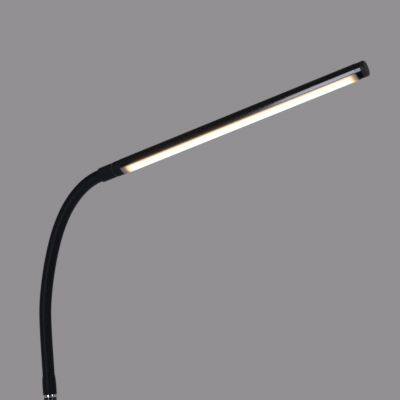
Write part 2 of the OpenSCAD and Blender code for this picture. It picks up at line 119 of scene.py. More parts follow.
# The caps: the near cap's bore and floor, their clearance in the tube, and their edges
CAP_BORE = 4.07 * MM
CAP_FLOOR = 4.5 * MM
CAP_FREE = 0.2 * MM
CAP_EDGE = 0.15 * MM
CAP_TUBE_EDGE = 0.25 * MM
CAP_END_EDGE = 1.2 * MM
BAND_EASE = 0.2 * MM
INSERT_SET_BACK = 0.1 * MM
BAND_STEPS = 60

# The light bar: the lip at its opening, the part of the lip that is rounded, the place of its inner
# web, and its steps around and along
BAR_LIP = 0.22 * MM
LIP_ROUND = 0.3
BAR_WEB = 0.8 * MM
BAR_STEPS = 96
BAR_RUNS = 24

# The opal strip: its wall, its gap to each lip, its eased corners, and its steps around
STRIP_WALL = 1.3 * MM
STRIP_GAP = math.radians(0.6)
STRIP_EASE = 0.12 * MM
STRIP_STEPS = 48

# The foot switch's return spring, as in the part's source, and the spring's steps
SPRING_WIRE = 0.9 * MM
SPRING_TURNS = 4
TURN_STEPS = 32
WIRE_SIDES = 12

# Steps of a rounded corner, and the angles in degrees from which an edge is shown sharp
CORNER_STEPS = 6
SHARP_EDGE = 38
SHARP_BAR_EDGE = 30
SHARP_STRIP_EDGE = 40


# Sizes and colours that a user would change

class LampSizes(bpy.types.PropertyGroup):
    """Sizes of the pieces that the scene makes"""
    sleeve_radius: FloatProperty(
        name="Sleeve radius", description="Outside radius of the neck's sleeve",
        default=7.5 * MM, min=0.005, max=0.01, unit="LENGTH")
    sleeve_wall: FloatProperty(
        name="Sleeve wall", description="Thickness of the neck's sleeve",
        default=1.4 * MM, min=0.0005, max=0.002, unit="LENGTH")
    sleeve_step: FloatProperty(
        name="Sleeve step", description="Distance between the sleeve's rings of points",
        default=1.8 * MM, min=0.001, max=0.01, unit="LENGTH")
    tube_radius: FloatProperty(
        name="Tube radius", description="Outside radius of the light bar",
        default=9.65 * MM, min=0.005, max=0.02, unit="LENGTH")
    tube_wall: FloatProperty(
        name="Tube wall", description="Wall of the light bar's extrusion",
        default=1.1 * MM, min=0.0005, max=0.002, unit="LENGTH")
    cap_radius: FloatProperty(
        name="Cap radius", description="Outside radius of the light bar's two caps",
        default=9.35 * MM, min=0.005, max=0.02, unit="LENGTH")
    collar_radius: FloatProperty(
        name="Collar radius", description="Outside radius of the collar on the neck",
        default=9.1 * MM, min=0.005, max=0.02, unit="LENGTH")
    around: IntProperty(
        name="Steps around", description="Points around each turned piece",
        default=96, min=24, max=256)


class LampFinish(bpy.types.PropertyGroup):
    """Colours of the lamp's finishes"""
    lacquer: FloatVectorProperty(
        name="Lacquer", description="Gloss lacquer of the pole and the base",
        default=(0.0028, 0.0029, 0.0032), subtype="COLOR", size=3, min=0, max=1)
    sleeve: FloatVectorProperty(
        name="Sleeve", description="Matte skin of the neck and the boot",
        default=(0.0011, 0.0017, 0.0034), subtype="COLOR", size=3, min=0, max=1)
    bar: FloatVectorProperty(
        name="Bar", description="Gloss black of the light bar and its far cap's band",
        default=(0.0020, 0.0020, 0.0021), subtype="COLOR", size=3, min=0, max=1)
    collar: FloatVectorProperty(
        name="Collar", description="Blue-black of the collar and the cap beside it",
        default=(0.0060, 0.0066, 0.0092), subtype="COLOR", size=3, min=0, max=1)
    glow: FloatVectorProperty(
        name="Glow", description="Light of the opal strip",
        default=(1.0, 0.985, 0.945), subtype="COLOR", size=3, min=0, max=1)
    glow_strength: FloatProperty(
        name="Glow strength", description="Brightness of the opal strip",
        default=1.0, min=0, max=20)
    dust: FloatVectorProperty(
        name="Dust", description="Colour of the light dust on upper faces",
        default=(0.20, 0.19, 0.18), subtype="COLOR", size=3, min=0, max=1)


class LampStudio(bpy.types.PropertyGroup):
    """The floor, the backdrop and the lights"""
    backdrop: FloatVectorProperty(
        name="Backdrop", description="Plain tone behind the lamp",
        default=(0.288, 0.277, 0.287), subtype="COLOR", size=3, min=0, max=1)
    floor: FloatVectorProperty(
        name="Floor", description="Pale tone of the floor",
        default=(0.50, 0.495, 0.49), subtype="COLOR", size=3, min=0, max=1)
    fill: FloatProperty(
        name="Fill", description="Strength of the light from all round",
        default=0.88, min=0, max=2)
    dark: FloatProperty(
        name="Dark side", description="Tone of the studio's dark side in reflections",
        default=0.05, min=0, max=1)
    key_power: FloatProperty(
        name="Key power", description="Power of the tall softbox left of the camera",
        default=7.3, min=0, max=200, unit="POWER")
    side_power: FloatProperty(
        name="Side power", description="Power of the narrow softbox on the right",
        default=1.45, min=0, max=200, unit="POWER")


# Geometry helpers

def neck_route():
    """Knots of the neck's axis, each with its x, z and lean from upright in radians."""
    x, z, lean = 0.0, NECK_START_Z, 0.0
    knots = [(x, z, lean)]
    for bend in LINK_BENDS:
        turn = math.radians(bend)
        if bend:
            radius = LINK_L / turn
            side, ahead = radius * (1 - math.cos(turn)), radius * math.sin(turn)
        else:
            side, ahead = 0.0, LINK_L
        x += side * math.cos(lean) + ahead * math.sin(lean)
        z += ahead * math.cos(lean) - side * math.sin(lean)
        lean += turn
        knots.append((x, z, lean))
    return knots


KNOTS = neck_route()


def place(x, z, lean):
    """Frame with +Z along the neck's lean and +Y across it."""
    return Matrix.Translation((x, 0, z)) @ Matrix.Rotation(lean, 4, "Y")


HEAD = place(*KNOTS[-1])


def along_head(distance):
    """Frame on the head's axis at a distance from the neck's end."""
    return HEAD @ Matrix.Translation((0, 0, distance))


def along_neck(distance):
    """Frame on the neck's axis at a distance from its start, straight on past either end."""
    if distance > NECK_L:
        return along_head(distance - NECK_L)
    link = min(max(int(distance // LINK_L), 0), len(LINK_BENDS) - 1)
    start = place(*KNOTS[link])
    step = distance - link * LINK_L
    turn = math.radians(LINK_BENDS[link])
    if not turn:
        return start @ Matrix.Translation((0, 0, step))
    radius = LINK_L / turn
    bent = turn * step / LINK_L
    shift = Matrix.Translation((radius * (1 - math.cos(bent)), 0, radius * math.sin(bent)))
    return start @ shift @ Matrix.Rotation(bent, 4, "Y")


def evenly(first, last, steps):
    """Values from first to last in equal steps."""
    return [first + (last - first) * i / steps for i in range(steps + 1)]


def bar_stations():
    """Frames along the light bar, from one cap to the other."""
    return [along_head(distance) for distance in evenly(TUBE_START, TUBE_END, BAR_RUNS)]


def polar(radius, angle):
    """Point at an angle round an axis."""
    return radius * math.cos(angle), radius * math.sin(angle)


def arc_band(inner, outer, first, last):
    """Closed outline of part of a round wall, between two angles."""
    angles = evenly(first, last, BAND_STEPS)
    return ([polar(outer, angle) for angle in angles]
            + [polar(inner, angle) for angle in reversed(angles)])


def bar_lip(outer, inner, edge, trim):
    """Lip of the light bar's opening from the outside in; trim is the angle of its rounding."""
    start = polar(outer - LIP_ROUND * BAR_LIP, edge + LIP_ROUND * trim)
    return [start, polar(outer - BAR_LIP, edge), polar(inner, edge)]


def eased(corners):
    """Closed outline through corners (x, y, radius), each rounded by its own radius."""
    outline = []
    for i, (x, y, radius) in enumerate(corners):
        corner = Vector((x, y))
        if radius <= 0:
            outline.append(corner)
            continue
        back = (Vector(corners[i - 1][:2]) - corner).normalized()
        ahead = (Vector(corners[(i + 1) % len(corners)][:2]) - corner).normalized()
        half = back.angle(ahead) / 2
        centre = corner + (back + ahead).normalized() * (radius / math.sin(half))
        start = corner + back * (radius / math.tan(half)) - centre
        end = corner + ahead * (radius / math.tan(half)) - centre
        sweep = math.pi - 2 * half
        for j in range(CORNER_STEPS + 1):
            part = j / CORNER_STEPS
            a, b = math.sin((1 - part) * sweep), math.sin(part * sweep)
            outline.append(centre + (start * a + end * b) / math.sin(sweep))
    return outline


def finish_mesh(name, bm, finish, sharp=SHARP_EDGE):
    """Turns a bmesh into a named piece with its finish, smooth but for its sharp edges."""
    bmesh.ops.recalc_face_normals(bm, faces=bm.faces)
    mesh = bpy.data.meshes.new(name)
    bm.to_mesh(mesh)
    bm.free()
    mesh.polygons.foreach_set("use_smooth", [True] * len(mesh.polygons))
    mesh.set_sharp_from_angle(angle=math.radians(sharp))
    mesh.materials.append(finish)
    piece = bpy.data.objects.new(name, mesh)
    bpy.context.scene.collection.objects.link(piece)
    return piece


def hose(name, stations, outer, inner, finish):
    """Round pipe carried through frames, with flat ends."""
    bm = bmesh.new()
    angles = [2 * math.pi * j / SLEEVE_AROUND for j in range(SLEEVE_AROUND)]
    pairs = [(j, (j + 1) % SLEEVE_AROUND) for j in range(SLEEVE_AROUND)]
    walls = []
    for radius in (outer, inner):
        ring = [Vector((*polar(radius, angle), 0)) for angle in angles]
        rings = [[bm.verts.new(at @ point) for point in ring] for at in stations]
        for low, high in zip(rings, rings[1:]):
            for j, n in pairs:
                bm.faces.new((low[j], low[n], high[n], high[j]))
        walls.append(rings)
    for end in (0, -1):
        out, within = walls[0][end], walls[1][end]
        for j, n in pairs:
            bm.faces.new((out[j], out[n], within[n], within[j]))
    return finish_mesh(name, bm, finish)


def turned(name, outline, at, finish):
    """Piece turned on a lathe: a closed outline of (radius, height) swept round the frame's Z."""
    around = bpy.context.scene.lamp_sizes.around
    bm = bmesh.new()
    poles = {i: bm.verts.new(at @ Vector((0, 0, h))) for i, (r, h) in enumerate(outline) if r <= 0}
    rings = []
    for j in range(around):
        c, s = polar(1.0, 2 * math.pi * j / around)
        rings.append([poles[i] if i in poles else bm.verts.new(at @ Vector((r * c, r * s, h)))
                      for i, (r, h) in enumerate(outline)])
    for j in range(around):
        near, far = rings[j], rings[(j + 1) % around]
        for i in range(len(outline)):
            k = (i + 1) % len(outline)
            corners = list(dict.fromkeys((near[i], near[k], far[k], far[i])))
            if len(corners) > 2:
                bm.faces.new(corners)
    return finish_mesh(name, bm, finish)


def lofted(name, stations, outline, finish, across=None, sharp=SHARP_EDGE):
    """Piece with one closed outline carried through frames, with plain ends.

    The UV map runs along the piece in u, from 0 to 1, and by the given values across it in v.
    """
    bm = bmesh.new()
    uv = bm.loops.layers.uv.new("run")
    rings = [[bm.verts.new(at @ Vector((x, y, 0))) for x, y in outline] for at in stations]
    count = len(outline)
    across = across or [i / count for i in range(count)]
    last = len(stations) - 1
    for s in range(last):
        for i in range(count):
            k = (i + 1) % count
            face = bm.faces.new((rings[s][i], rings[s][k], rings[s + 1][k], rings[s + 1][i]))
            marks = ((s, i), (s, k), (s + 1, k), (s + 1, i))
            for loop, (along, point) in zip(face.loops, marks):
                loop[uv].uv = (along / last, across[point])
    for ring, u in ((rings[0], 0.0), (rings[-1], 1.0)):
        face = bm.faces.new(ring)
        for loop, v in zip(face.loops, across):
            loop[uv].uv = (u, v)
    return finish_mesh(name, bm, finish, sharp)


# Shader helpers

# Where a colour mix has its factor and its two colours among its inputs, and its result among its
# outputs
MIX_INPUTS = (0, 6, 7)
MIX_COLOUR = 2

SPECULAR = "Specular IOR Level"


def feed(tree, socket, given):
    """Sets a socket to a value, or links it where another node's socket is given."""
    if isinstance(given, bpy.types.NodeSocket):
        tree.links.new(given, socket)
    else:
        socket.default_value = given


def node(tree, kind, **values):
    """New node, each value fed to the input of that name or set as the node's own property."""
    made = tree.nodes.new(kind)
    for key, value in values.items():
        if key in made.inputs:
            feed(tree, made.inputs[key], value)
        else:
            setattr(made, key, value)
    return made


def noise(tree, coords, scale, detail, rough):
    """Noise on given coordinates."""
    made = node(
        tree, "ShaderNodeTexNoise", Vector=coords, Scale=scale, Detail=detail, Roughness=rough)
    return made.outputs["Fac"]


def spread(tree, value, low=0.0, high=1.0, first=0.0, last=1.0, smooth=False):
    """Value carried from the range low to high over to the range first to last."""
    made = node(tree, "ShaderNodeMapRange", interpolation_type="SMOOTHSTEP" if smooth else "LINEAR")
    names = ("Value", "From Min", "From Max", "To Min", "To Max")
    for name, given in zip(names, (value, low, high, first, last)):
        feed(tree, made.inputs[name], given)
    return made.outputs["Result"]


def combined(tree, operation, first, second, clamp=False):
    """Result of a math operation on two values."""
    made = node(tree, "ShaderNodeMath", operation=operation, use_clamp=clamp)
    feed(tree, made.inputs[0], first)
    feed(tree, made.inputs[1], second)
    return made.outputs[0]


def mixed(tree, factor, first, second, blend="MIX"):
    """Colour mixed from two others."""
    made = node(tree, "ShaderNodeMix", data_type="RGBA", blend_type=blend)
    for spot, given in zip(MIX_INPUTS, (factor, first, second)):
        feed(tree, made.inputs[spot], given)
    return made.outputs[MIX_COLOUR]


def opaque(colour, lift=1.0):
    """Colour with its alpha, lifted by a factor."""
    return (*(min(1.0, c * lift) for c in colour), 1)


def ramp(tree, place_along, stops):
    """Colour from a ramp with stops of (place, colour)."""
    made = node(tree, "ShaderNodeValToRGB", Fac=place_along)
    elements = made.color_ramp.elements
    while len(elements) < len(stops):
        elements.new(0.5)
    for element, (spot, colour) in zip(elements, stops):
        element.position = spot
        element.color = opaque(colour)
    return made.outputs["Color"]


# Shader groups

def new_group(name, inputs, outputs):
    """Shader group with named values; the group, its inner sources and its inner results."""
    group = bpy.data.node_groups.new(name, "ShaderNodeTree")
    for socket, default in inputs.items():
        made = group.interface.new_socket(socket, in_out="INPUT", socket_type="NodeSocketFloat")
        made.default_value = default
    for socket in outputs:
        group.interface.new_socket(socket, in_out="OUTPUT", socket_type="NodeSocketFloat")
    return group, node(group, "NodeGroupInput").outputs, node(group, "NodeGroupOutput").inputs


def fine_grain_group():
    """Height of a moulded grain and slow patches of tone, in object space."""
    group, given, result = new_group(
        "Fine grain", {"Scale": 900.0, "Patch scale": 30.0}, ("Height", "Patch"))
    coords = node(group, "ShaderNodeTexCoord").outputs["Object"]
    feed(group, result["Height"], noise(group, coords, given["Scale"], detail=3.0, rough=0.6))
    patch = noise(group, coords, given["Patch scale"], detail=4.0, rough=0.55)
    feed(group, result["Patch"], spread(group, patch, low=0.3, high=0.7))
    return group


def settled_dust_group():
    """Mask of thin dust on faces that look up, broken by specks."""
    group, given, result = new_group("Settled dust", {"Amount": 0.1, "Scale": 160.0}, ("Mask",))
    normal = node(group, "ShaderNodeNewGeometry").outputs["Normal"]
    rise = node(group, "ShaderNodeSeparateXYZ", Vector=normal).outputs["Z"]
    upward = spread(group, rise, low=0.35)
    coords = node(group, "ShaderNodeTexCoord").outputs["Object"]
    specks = noise(group, coords, given["Scale"], detail=5.0, rough=0.7)
    lying = combined(group, "MULTIPLY", upward, spread(group, specks, low=0.42, high=0.78))
    feed(group, result["Mask"], combined(group, "MULTIPLY", lying, given["Amount"]))
    return group


def shared_group(name, make):
    """The shader group of that name, made once."""
    return bpy.data.node_groups.get(name) or make()


def grain(tree, scale, patch_scale):
    """Outputs of the fine grain group at two scales."""
    group = shared_group("Fine grain", fine_grain_group)
    scales = {"Scale": scale, "Patch scale": patch_scale}
    return node(tree, "ShaderNodeGroup", node_tree=group, **scales).outputs


def dusted(tree, colour, amount):
    """A colour under settled dust, and the dust's mask."""
    group = shared_group("Settled dust", settled_dust_group)
    mask = node(tree, "ShaderNodeGroup", node_tree=group, Amount=amount).outputs["Mask"]
    return mixed(tree, mask, colour, opaque(bpy.context.scene.lamp_finish.dust)), mask


# Finishes

def bare_finish(name):
    """New material with its shader and output."""
    finish = bpy.data.materials.new(name)
    finish.use_nodes = True
    tree = finish.node_tree
    tree.nodes.clear()
    shader = node(tree, "ShaderNodeBsdfPrincipled")
    node(tree, "ShaderNodeOutputMaterial", Surface=shader.outputs["BSDF"])
    return finish, tree, shader


def emboss(tree, shader, height, strength, depth):
    """Gives a shader its relief from a height."""
    relief = node(tree, "ShaderNodeBump", Strength=strength, Distance=depth, Height=height)
    feed(tree, shader.inputs["Normal"], relief.outputs["Normal"])


def grained(name, colour, rough, swing=0.04, lift=1.35, scale=900.0, patch=30.0, bump=0.05,
            depth=0.05 * MM, dust=0.0, sockets=None):
    """Finish with moulded grain, slow patches of tone and gloss, and a little dust on top."""
    finish, tree, shader = bare_finish(name)
    for socket, value in (sockets or {}).items():
        shader.inputs[socket].default_value = value
    texture = grain(tree, scale, patch)
    tone = mixed(tree, texture["Patch"], opaque(colour), opaque(colour, lift))
    shade, mask = dusted(tree, tone, dust)
    feed(tree, shader.inputs["Base Color"], shade)
    gloss = spread(tree, texture["Patch"], first=rough - swing, last=rough + swing)
    feed(tree, shader.inputs["Roughness"], combined(tree, "ADD", gloss, mask, clamp=True))
    emboss(tree, shader, texture["Height"], bump, depth)
    return finish


# Recipes of the grained finishes; a colour given by name is one that a user would change
RECIPES = {
    # Gloss black lacquer with a faint orange peel
    "gloss_lacquer": dict(
        colour="lacquer", rough=0.14, swing=0.03, scale=420.0, bump=0.03, dust=0.05),
    # Matte blue-black skin of the neck
    "matte_sleeve": dict(
        colour="sleeve", rough=0.48, scale=1500.0, patch=60.0, bump=0.10, dust=0.01,
        sockets={SPECULAR: 0.15}),
    # Satin black of the collar and the cap beside it
    "satin_collar": dict(
        colour="collar", rough=0.36, scale=1200.0, dust=0.01, sockets={SPECULAR: 0.05}),
    # Gloss black band of the far cap
    "gloss_cap": dict(
        colour="bar", rough=0.12, swing=0.02, scale=1400.0, bump=0.03, dust=0.01,
        sockets={SPECULAR: 0.8}),
    # Dull black insert under the far cap's band: painted shade, a dark piece put where the cap's
    # underside is in shade
    "dull_insert": dict(
        colour=(0.0018, 0.0019, 0.0027), rough=0.40, scale=1200.0, sockets={SPECULAR: 0.05}),
    # Matte end of the far cap
    "matte_end": dict(
        colour=(0.0055, 0.0058, 0.0067), rough=0.42, lift=1.2, scale=1500.0, bump=0.10,
        sockets={SPECULAR: 0.35}),
    # Polished plating of the rings
    "polished_plating": dict(
        colour=(0.66, 0.68, 0.71), rough=0.12, swing=0.02, lift=1.04, scale=600.0, bump=0.01,
        sockets={"Metallic": 1.0}),
    # Plain turned steel of the inner pieces
    "turned_steel": dict(
        colour=(0.50, 0.51, 0.52), rough=0.32, swing=0.06, lift=1.12, scale=1100.0, bump=0.08,
        sockets={"Metallic": 1.0}),
    # Dark nylon of the swivel washer, with a pale bloom where it is seen edge on
    "dark_nylon": dict(
        colour=(0.004, 0.004, 0.0045), rough=0.50, swing=0.05, lift=1.1, scale=1500.0,
        sockets={SPECULAR: 0.2, "Sheen Weight": 1.0, "Sheen Roughness": 0.36}),
    # Rough casting under grey primer
    "cast_primer": dict(
        colour=(0.11, 0.11, 0.115), rough=0.72, swing=0.08, lift=1.4, scale=500.0, bump=0.5,
        depth=0.3 * MM),
    # Dense foam of the pad under the base
    "pad_foam": dict(
        colour=(0.012, 0.012, 0.013), rough=0.9, lift=1.8, scale=1800.0, bump=0.6, depth=0.3 * MM),
    # Grained black moulding of the switch and the driver's box
    "grained_moulding": dict(
        colour=(0.012, 0.012, 0.0125), rough=0.42, swing=0.06, lift=1.5, scale=1600.0, bump=0.35,
        depth=0.12 * MM, dust=0.05),
    # Soft black bush of the inlet
    "inlet_bush": dict(
        colour=(0.010, 0.010, 0.010), rough=0.6, swing=0.06, lift=1.6, scale=1300.0, bump=0.2),
    # Grey sheath of the inner lead
    "lead_sheath": dict(colour=(0.12, 0.12, 0.125), rough=0.5, swing=0.05, bump=0.1),
    # White mask of the diode board
    "board_mask": dict(colour=(0.74, 0.74, 0.70), rough=0.45, swing=0.05, lift=1.08, scale=700.0),
    # Yellow phosphor of the diodes
    "diode_phosphor": dict(
        colour=(0.82, 0.60, 0.10), rough=0.25, swing=0.05, lift=1.15, scale=1500.0, bump=0.1),
}


def finish_of(name):
    """The grained finish of that name, made once from its recipe."""
    made = bpy.data.materials.get(name)
    if made:
        return made
    recipe = dict(RECIPES[name])
    if isinstance(recipe["colour"], str):
        recipe["colour"] = getattr(bpy.context.scene.lamp_finish, recipe["colour"])
    return grained(name, **recipe)


def run_light(tree, shader, run, across, along, strength):
    """Glow of a lofted piece, from colours across its outline times colours along its run."""
    parts = node(tree, "ShaderNodeSeparateXYZ", Vector=run).outputs
    light_across, light_along = ramp(tree, parts["Y"], across), ramp(tree, parts["X"], along)
    light = mixed(tree, 1.0, light_across, light_along, "MULTIPLY")
    feed(tree, shader.inputs["Emission Color"], light)
    shader.inputs["Emission Strength"].default_value = strength


def mirrored(stops):
    """Colour stops from an edge to the middle, and back to the other edge."""
    return stops + [(1 - spot, colour) for spot, colour in reversed(stops)]


UNLIT, FULL = (0.0, 0.0, 0.0), (1.0, 1.0, 1.0)

# Painted glow, as emission, of the strip's light on the extrusion: from a lip to the dark of its
# back, and along the bar
LIP_PAINTED_GLOW = [
    (0.0, (0.07, 0.042, 0.018)), (0.018, (0.058, 0.032, 0.012)), (0.052, (0.024, 0.011, 0.004)),
    (0.085, (0.011, 0.004, 0.0015)), (0.15, UNLIT)]
LIP_PAINTED_GLOW_RUN = [(0.03, UNLIT), (0.08, FULL), (0.95, FULL), (0.985, UNLIT)]

# The strip's own light: from an edge towards its middle, and along its run, dim at each end
STRIP_EDGE_LIGHT = [
    (0.0, (0.15, 0.10, 0.055)), (0.03, (0.44, 0.34, 0.21)), (0.06, (0.90, 0.79, 0.57)),
    (0.105, (1.0, 0.93, 0.74))]
STRIP_GLOW_SPOT = 0.22
STRIP_DIM, STRIP_AMBER, STRIP_WARM = (0.11, 0.095, 0.105), (0.30, 0.19, 0.11), (0.95, 0.80, 0.55)
STRIP_LIGHT_RUN = [
    (0.002, UNLIT), (0.005, STRIP_DIM), (0.013, STRIP_DIM), (0.020, STRIP_AMBER),
    (0.030, STRIP_WARM), (0.046, FULL), (0.963, FULL), (0.978, STRIP_WARM),
    (0.984, (0.56, 0.38, 0.22)), (0.991, STRIP_AMBER), (1.0, (0.05, 0.03, 0.018))]

# The strip's own tone in its darker and its paler patches
STRIP_DARKER, STRIP_PALER = (0.036, 0.035, 0.033), (0.044, 0.042, 0.039)

# Scale of the extrusion's lines, along it and across it
LINE_SCALE = (3.0, 260.0, 1.0)


def bar_finish():
    """Gloss black extrusion with faint lines along it, and a painted glow of the strip's light on
    its lips.
    """
    look = bpy.context.scene.lamp_finish
    finish, tree, shader = bare_finish("satin_extrusion")
    run = node(tree, "ShaderNodeUVMap", uv_map="run").outputs["UV"]
    stretched = node(tree, "ShaderNodeMapping", Vector=run, Scale=LINE_SCALE).outputs["Vector"]
    lines = noise(tree, stretched, scale=1.0, detail=2.0, rough=0.5)
    patch = grain(tree, scale=1600.0, patch_scale=25.0)["Patch"]
    tone = mixed(tree, patch, opaque(look.bar), opaque(look.bar, lift=1.5))
    shade, _ = dusted(tree, tone, amount=0.012)
    feed(tree, shader.inputs["Base Color"], shade)
    feed(tree, shader.inputs["Roughness"], spread(tree, lines, first=0.105, last=0.125))
    emboss(tree, shader, lines, strength=0.006, depth=0.05 * MM)
    # Painted glow: the strip's light on the two lips is given as emission of the extrusion
    run_light(tree, shader, run, mirrored(LIP_PAINTED_GLOW), LIP_PAINTED_GLOW_RUN, strength=1.0)
    shader.inputs[SPECULAR].default_value = 1.0
    return finish


def strip_finish():
    """Lit opal strip: even along its run, falling off at its two edges and dim at its ends."""
    look = bpy.context.scene.lamp_finish
    finish, tree, shader = bare_finish("lit_opal")
    run = node(tree, "ShaderNodeUVMap", uv_map="run").outputs["UV"]
    across = mirrored(STRIP_EDGE_LIGHT + [(STRIP_GLOW_SPOT, tuple(look.glow))])
    run_light(tree, shader, run, across, STRIP_LIGHT_RUN, look.glow_strength)
    texture = grain(tree, scale=1800.0, patch_scale=30.0)
    tone = mixed(tree, texture["Patch"], opaque(STRIP_DARKER), opaque(STRIP_PALER))
    feed(tree, shader.inputs["Base Color"], tone)
    feed(tree, shader.inputs["Roughness"], spread(tree, texture["Patch"], first=0.36, last=0.48))
    emboss(tree, shader, texture["Height"], strength=0.06, depth=0.04 * MM)
    return finish


# Pieces

class LAMP_OT_neck_sleeve(bpy.types.Operator):
    """Make the neck's smooth sleeve, one piece over each joint of the neck"""
    bl_idname = "lamp.neck_sleeve"
    bl_label = "Neck sleeve"

    def execute(self, context):
        size, finish = context.scene.lamp_sizes, finish_of("matte_sleeve")
        outer, inner = size.sleeve_radius, size.sleeve_radius - size.sleeve_wall
        joints = len(LINK_BENDS) - 1
        for k in range(1, joints + 1):
            low = -SLEEVE_ENTRY if k == 1 else (k - 0.5) * LINK_L
            high = NECK_L + SLEEVE_TAIL if k == joints else (k + 0.5) * LINK_L
            steps = round((high - low) / size.sleeve_step)
            stations = [along_neck(distance) for distance in evenly(low, high, steps)]
            piece = hose(f"neck_sleeve_{k}", stations, outer, inner, finish)
            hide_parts(*([f"sleeve_{k}"] if k < joints else [f"sleeve_{k}", f"sleeve_{k + 1}"]))
            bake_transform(piece)
        return {"FINISHED"}


class LAMP_OT_neck_boot(bpy.types.Operator):
    """Make the boot that rounds in from the bright ring to the sleeve"""
    bl_idname = "lamp.neck_boot"
    bl_label = "Neck boot"

    def execute(self, context):
        low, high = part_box("neck_boot")
        wide, tall = (high[0] - low[0]) / 2, high[2] - low[2]
        mouth = context.scene.lamp_sizes.sleeve_radius + BOOT_LIP
        bore = context.scene.lamp_sizes.sleeve_radius + BOOT_FREE
        outline = [(bore, 0.0)] + [(wide - inset, rise) for inset, rise in BOOT_EDGE]
        for i in range(BOOT_STEPS + 1):
            part = i / BOOT_STEPS
            outline.append((mouth + (wide - mouth) * math.cos(part * math.pi / 2),
                            BOOT_STRAIGHT + (tall - BOOT_STRAIGHT) * part))
        outline.append((bore, tall))
        at = Matrix.Translation((0, 0, low[2]))
        piece = turned("boot", outline, at, finish_of("matte_sleeve"))
        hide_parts("neck_boot")
        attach(piece, "base")
        return {"FINISHED"}


class LAMP_OT_bright_rings(bpy.types.Operator):
    """Make the two plated rings at the pole's ends"""
    bl_idname = "lamp.bright_rings"
    bl_label = "Bright rings"

    def execute(self, context):
        for name in ("foot_ring", "neck_ring"):
            low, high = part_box(name)
            wide, tall = (high[0] - low[0]) / 2, high[2] - low[2]
            outline = eased([
                (RING_BORE, 0, 0), (wide, 0, RING_EDGE),
                (wide, tall, RING_EDGE), (RING_BORE, tall, 0)])
            at = Matrix.Translation((0, 0, low[2]))
            piece = turned("plated_" + name, outline, at, finish_of("polished_plating"))
            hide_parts(name)
            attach(piece, "base")
        return {"FINISHED"}


class LAMP_OT_switch_spring(bpy.types.Operator):
    """Make the foot switch's return spring"""
    bl_idname = "lamp.switch_spring"
    bl_label = "Switch spring"

    def execute(self, context):
        low, high = (Vector(corner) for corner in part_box("switch_spring"))
        middle, tall = (low + high) / 2, high.z - low.z
        wire = SPRING_WIRE / 2
        radius, rise = (high.x - low.x) / 2 - wire, tall - 2 * wire
        steps = SPRING_TURNS * TURN_STEPS
        slope = rise / (2 * math.pi * SPRING_TURNS * radius)
        stations = []
        for i in range(steps + 1):
            out = Vector((*polar(1.0, 2 * math.pi * SPRING_TURNS * i / steps), 0))
            along = Vector((-out.y, out.x, slope)).normalized()
            spot = Vector((middle.x, middle.y, low.z + wire + rise * i / steps)) + out * radius
            turn = Matrix((out, along.cross(out), along)).transposed().to_4x4()
            stations.append(Matrix.Translation(spot) @ turn)
        outline = [polar(wire, 2 * math.pi * j / WIRE_SIDES) for j in range(WIRE_SIDES)]
        piece = lofted("press_spring", stations, outline, finish_of("turned_steel"))
        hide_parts("switch_spring")
        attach(piece, "base")
        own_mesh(piece)
        return {"FINISHED"}


class LAMP_OT_collar(bpy.types.Operator):
    """Make the collar on the neck's upper end and the washer beside it"""
    bl_idname = "lamp.collar"
    bl_label = "Collar"

    def execute(self, context):
        size = context.scene.lamp_sizes
        bore = size.sleeve_radius + SOCKET_FREE
        low, top = COLLAR_L - GROOVE_EASE, CAP_START + GROOVE_EASE - WASHER_FREE
        shell = eased([
            (bore, 0, COLLAR_MOUTH_EDGE), (size.collar_radius, 0, COLLAR_FOOT_EDGE),
            (size.collar_radius, low, COLLAR_TOP_EDGE), (SPINDLE_SEAT, low, 0),
            (SPINDLE_SEAT, WEB_TOP, 0), (LEAD_HOLE, WEB_TOP, 0),
            (LEAD_HOLE, SOCKET_DEPTH, 0), (bore, SOCKET_DEPTH, 0)])
        piece = turned("neck_collar", shell, HEAD, finish_of("satin_collar"))
        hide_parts("collar")
        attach(piece, "neck_8")
        rim = size.collar_radius - WASHER_FREE
        ring = eased([
            (WASHER_BORE, low, 0), (rim, low, WASHER_FREE),
            (rim, top, WASHER_FREE), (WASHER_BORE, top, 0)])
        washer = turned("groove_washer", ring, HEAD, finish_of("dark_nylon"))
        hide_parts("swivel_washer")
        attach(washer, "neck_8")
        return {"FINISHED"}


class LAMP_OT_light_bar(bpy.types.Operator):
    """Make the black extrusion of the light bar"""
    bl_idname = "lamp.light_bar"
    bl_label = "Light bar"

    def execute(self, context):
        size = context.scene.lamp_sizes
        outer, inner = size.tube_radius, size.tube_radius - size.tube_wall
        first, last = HALF_LIGHT, 2 * math.pi - HALF_LIGHT
        trim = BAR_LIP / outer
        marks = evenly(0.0, 1.0, BAR_STEPS)
        back = [polar(outer, angle) for angle in evenly(first + trim, last - trim, BAR_STEPS)]
        far_lip, near_lip = bar_lip(outer, inner, last, -trim), bar_lip(outer, inner, first, trim)
        web_reach = math.sqrt(inner ** 2 - BAR_WEB ** 2)
        web = [(-BAR_WEB, -web_reach), (-BAR_WEB, web_reach)]
        outline = back + far_lip + web + near_lip[::-1]
        across = marks + [1.0] * len(far_lip) + [0.5] * len(web) + [0.0] * len(near_lip)
        piece = lofted("light_bar", bar_stations(), outline, bar_finish(), across,
                       sharp=SHARP_BAR_EDGE)
        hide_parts("head_tube")
        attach(piece, "head")
        return {"FINISHED"}


